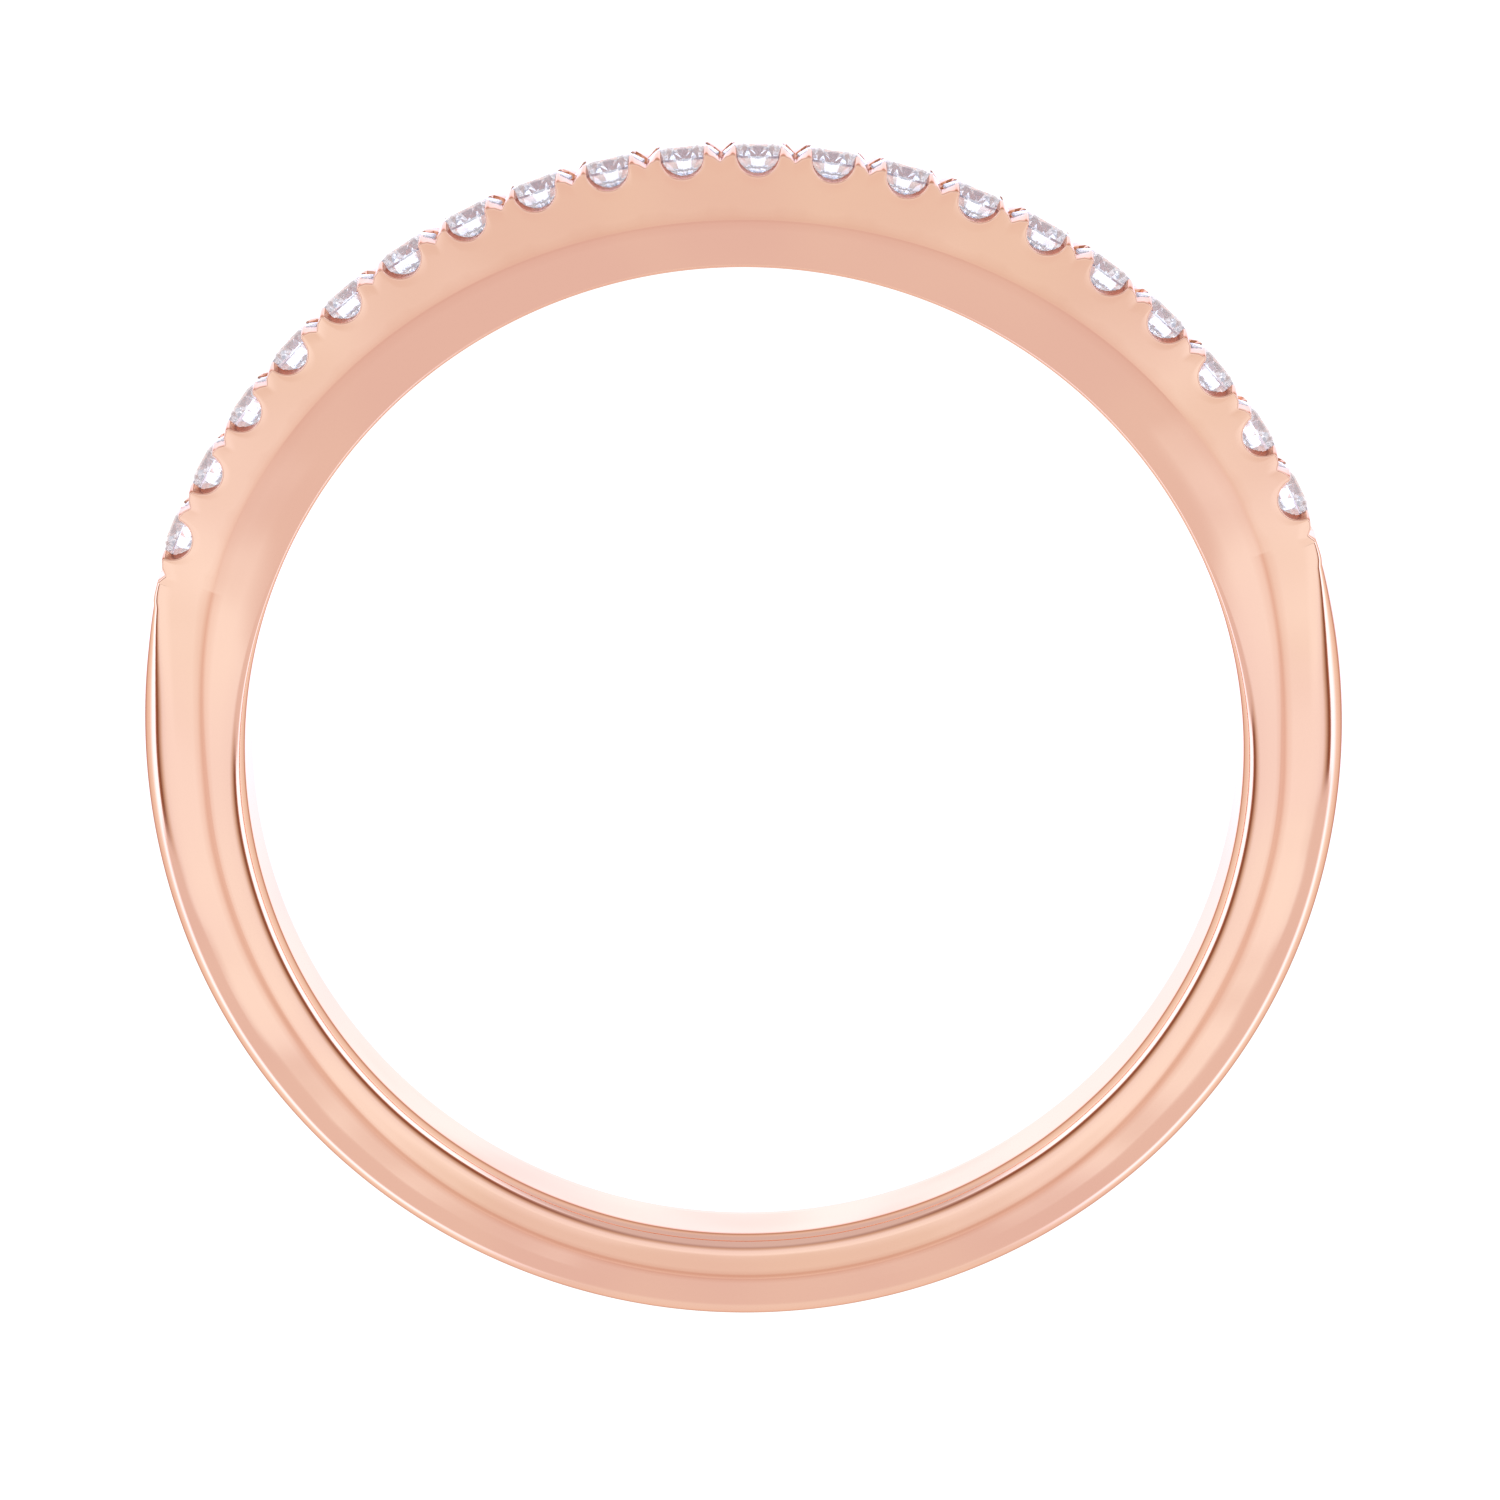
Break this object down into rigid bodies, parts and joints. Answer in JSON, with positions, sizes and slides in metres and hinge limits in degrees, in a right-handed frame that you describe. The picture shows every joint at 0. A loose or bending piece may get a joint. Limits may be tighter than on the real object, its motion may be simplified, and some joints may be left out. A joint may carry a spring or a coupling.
{
  "type": "wedding band",
  "caption": "Slim polished finger ring with one row of small round stones set in cut-down claws across its top half.",
  "frame": {"origin": "centre of the finger bore", "axes": "+Y along the bore, +Z towards the middle of the row of stones, +X to the right as seen from -Y"},
  "size_m": [0.0198, 0.0018, 0.0199],
  "materials": {
    "rose_gold": "polished rose gold, 14 carat",
    "diamond": "polished round brilliant"
  },
  "bodies": {
    "root": {"band": "rose_gold", "stone_01": "diamond", "stone_02": "diamond", "stone_03": "diamond", "stone_04": "diamond", "stone_05": "diamond", "stone_06": "diamond", "stone_07": "diamond", "stone_08": "diamond", "stone_09": "diamond", "stone_10": "diamond", "stone_11": "diamond", "stone_12": "diamond", "stone_13": "diamond", "stone_14": "diamond", "stone_15": "diamond", "stone_16": "diamond", "stone_17": "diamond", "stone_18": "diamond", "stone_19": "diamond", "stone_20": "diamond"}
  },
  "joints": []
}
